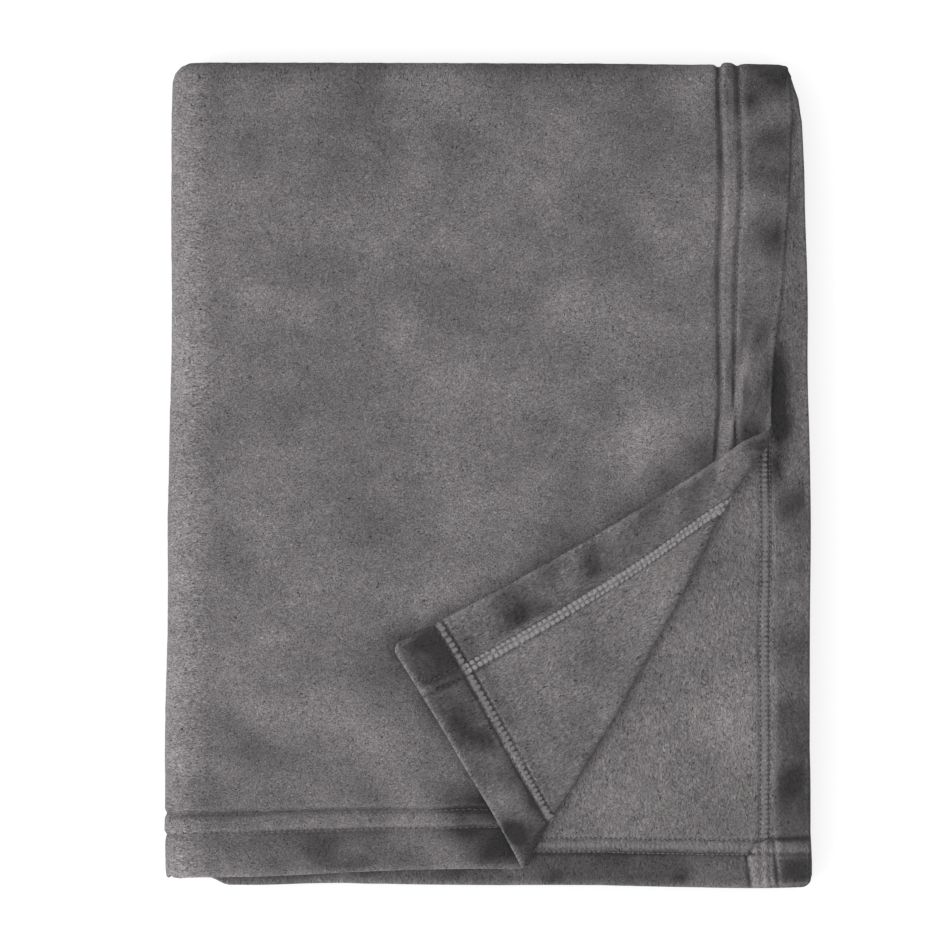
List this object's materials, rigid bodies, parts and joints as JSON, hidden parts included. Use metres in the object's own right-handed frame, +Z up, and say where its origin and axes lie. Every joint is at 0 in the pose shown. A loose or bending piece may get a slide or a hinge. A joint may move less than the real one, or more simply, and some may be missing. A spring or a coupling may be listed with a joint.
{
  "type": "folded throw blanket",
  "caption": "Plush throw blanket with wide coverstitched hems, folded flat into a rectangular bundle with its top corner turned over; it opens like a book and the corner turns back.",
  "frame": {"origin": "on the surface that the bundle rests on, under the middle of its footprint", "axes": "+X to the open right edges, +Y to the folded back edge, +Z up"},
  "size_m": [0.3526, 0.4496, 0.0465],
  "materials": {
    "cloth_face": "short curly plush pile, matt with a soft sheen",
    "cloth_back": "longer brushed pile, matt",
    "hem": "turned plush, flattened by its seam",
    "thread": "spun polyester sewing thread"
  },
  "bodies": {
    "lower_half": {"layer_09": "cloth_face", "layer_10": "cloth_back", "layer_11": "cloth_face", "layer_12": "cloth_back", "layer_13": "cloth_face", "layer_14": "cloth_back", "layer_15": "cloth_face", "layer_16": "cloth_back", "back_fold_09_to_16": "cloth_face", "back_fold_10_to_15": "cloth_face", "back_fold_11_to_14": "cloth_face", "back_fold_12_to_13": "cloth_face", "front_fold_09_to_10": "cloth_face", "front_fold_11_to_12": "cloth_face", "right_fold_outer": "cloth_face", "right_fold_inner": "cloth_face", "front_hem_13_16": "hem", "front_hem_14_15": "hem", "left_fold_01_08_to_16_09": "cloth_face", "left_fold_02_07_to_15_10": "cloth_face", "left_fold_03_06_to_14_11": "cloth_face", "left_fold_04_05_to_13_12": "cloth_face"},
    "upper_half": {"layer_02": "cloth_back", "layer_03": "cloth_face", "layer_04": "cloth_back", "layer_05": "cloth_face", "layer_06": "cloth_back", "layer_07": "cloth_face", "layer_08": "cloth_back", "top_panel_01": "cloth_face", "top_side_hem_01": "hem", "top_front_hem_01": "hem", "top_side_needle_inner": "thread", "top_side_needle_outer": "thread", "top_front_needle_inner": "thread", "top_front_needle_outer": "thread", "back_fold_01_to_08": "cloth_face", "back_fold_02_to_07": "cloth_face", "back_fold_03_to_06": "cloth_face", "back_fold_04_to_05": "cloth_face", "front_fold_07_to_08": "cloth_face", "front_fold_05_to_06": "cloth_face", "side_hem_02": "hem", "side_hem_03": "hem", "side_hem_04": "hem", "side_hem_05_06": "hem", "side_hem_07_08": "hem", "front_hem_02": "hem", "front_hem_03": "hem", "front_hem_04": "hem", "side_looper_chain_02": "thread", "front_looper_chain_02": "thread", "crease_turn": "cloth_face"},
    "turned_corner": {"corner_panel": "cloth_back", "corner_side_hem": "hem", "corner_front_hem": "hem", "corner_side_looper_chain": "thread", "corner_front_looper_chain": "thread"}
  },
  "joints": [
    {"name": "left_fold", "type": "hinge", "parent": "lower_half", "child": "upper_half", "pos_m": [-0.1545, 0, 0.02185], "axis": [0, -1, 0], "range_deg": [0, 175], "deforming": ["left_fold_01_08_to_16_09", "left_fold_02_07_to_15_10", "left_fold_03_06_to_14_11", "left_fold_04_05_to_13_12"]},
    {"name": "corner_turn", "type": "hinge", "parent": "upper_half", "child": "turned_corner", "pos_m": [0.09189, -0.091, 0.04385], "axis": [0.5, 0.866, 0], "range_deg": [0, 178], "deforming": ["crease_turn"]}
  ]
}
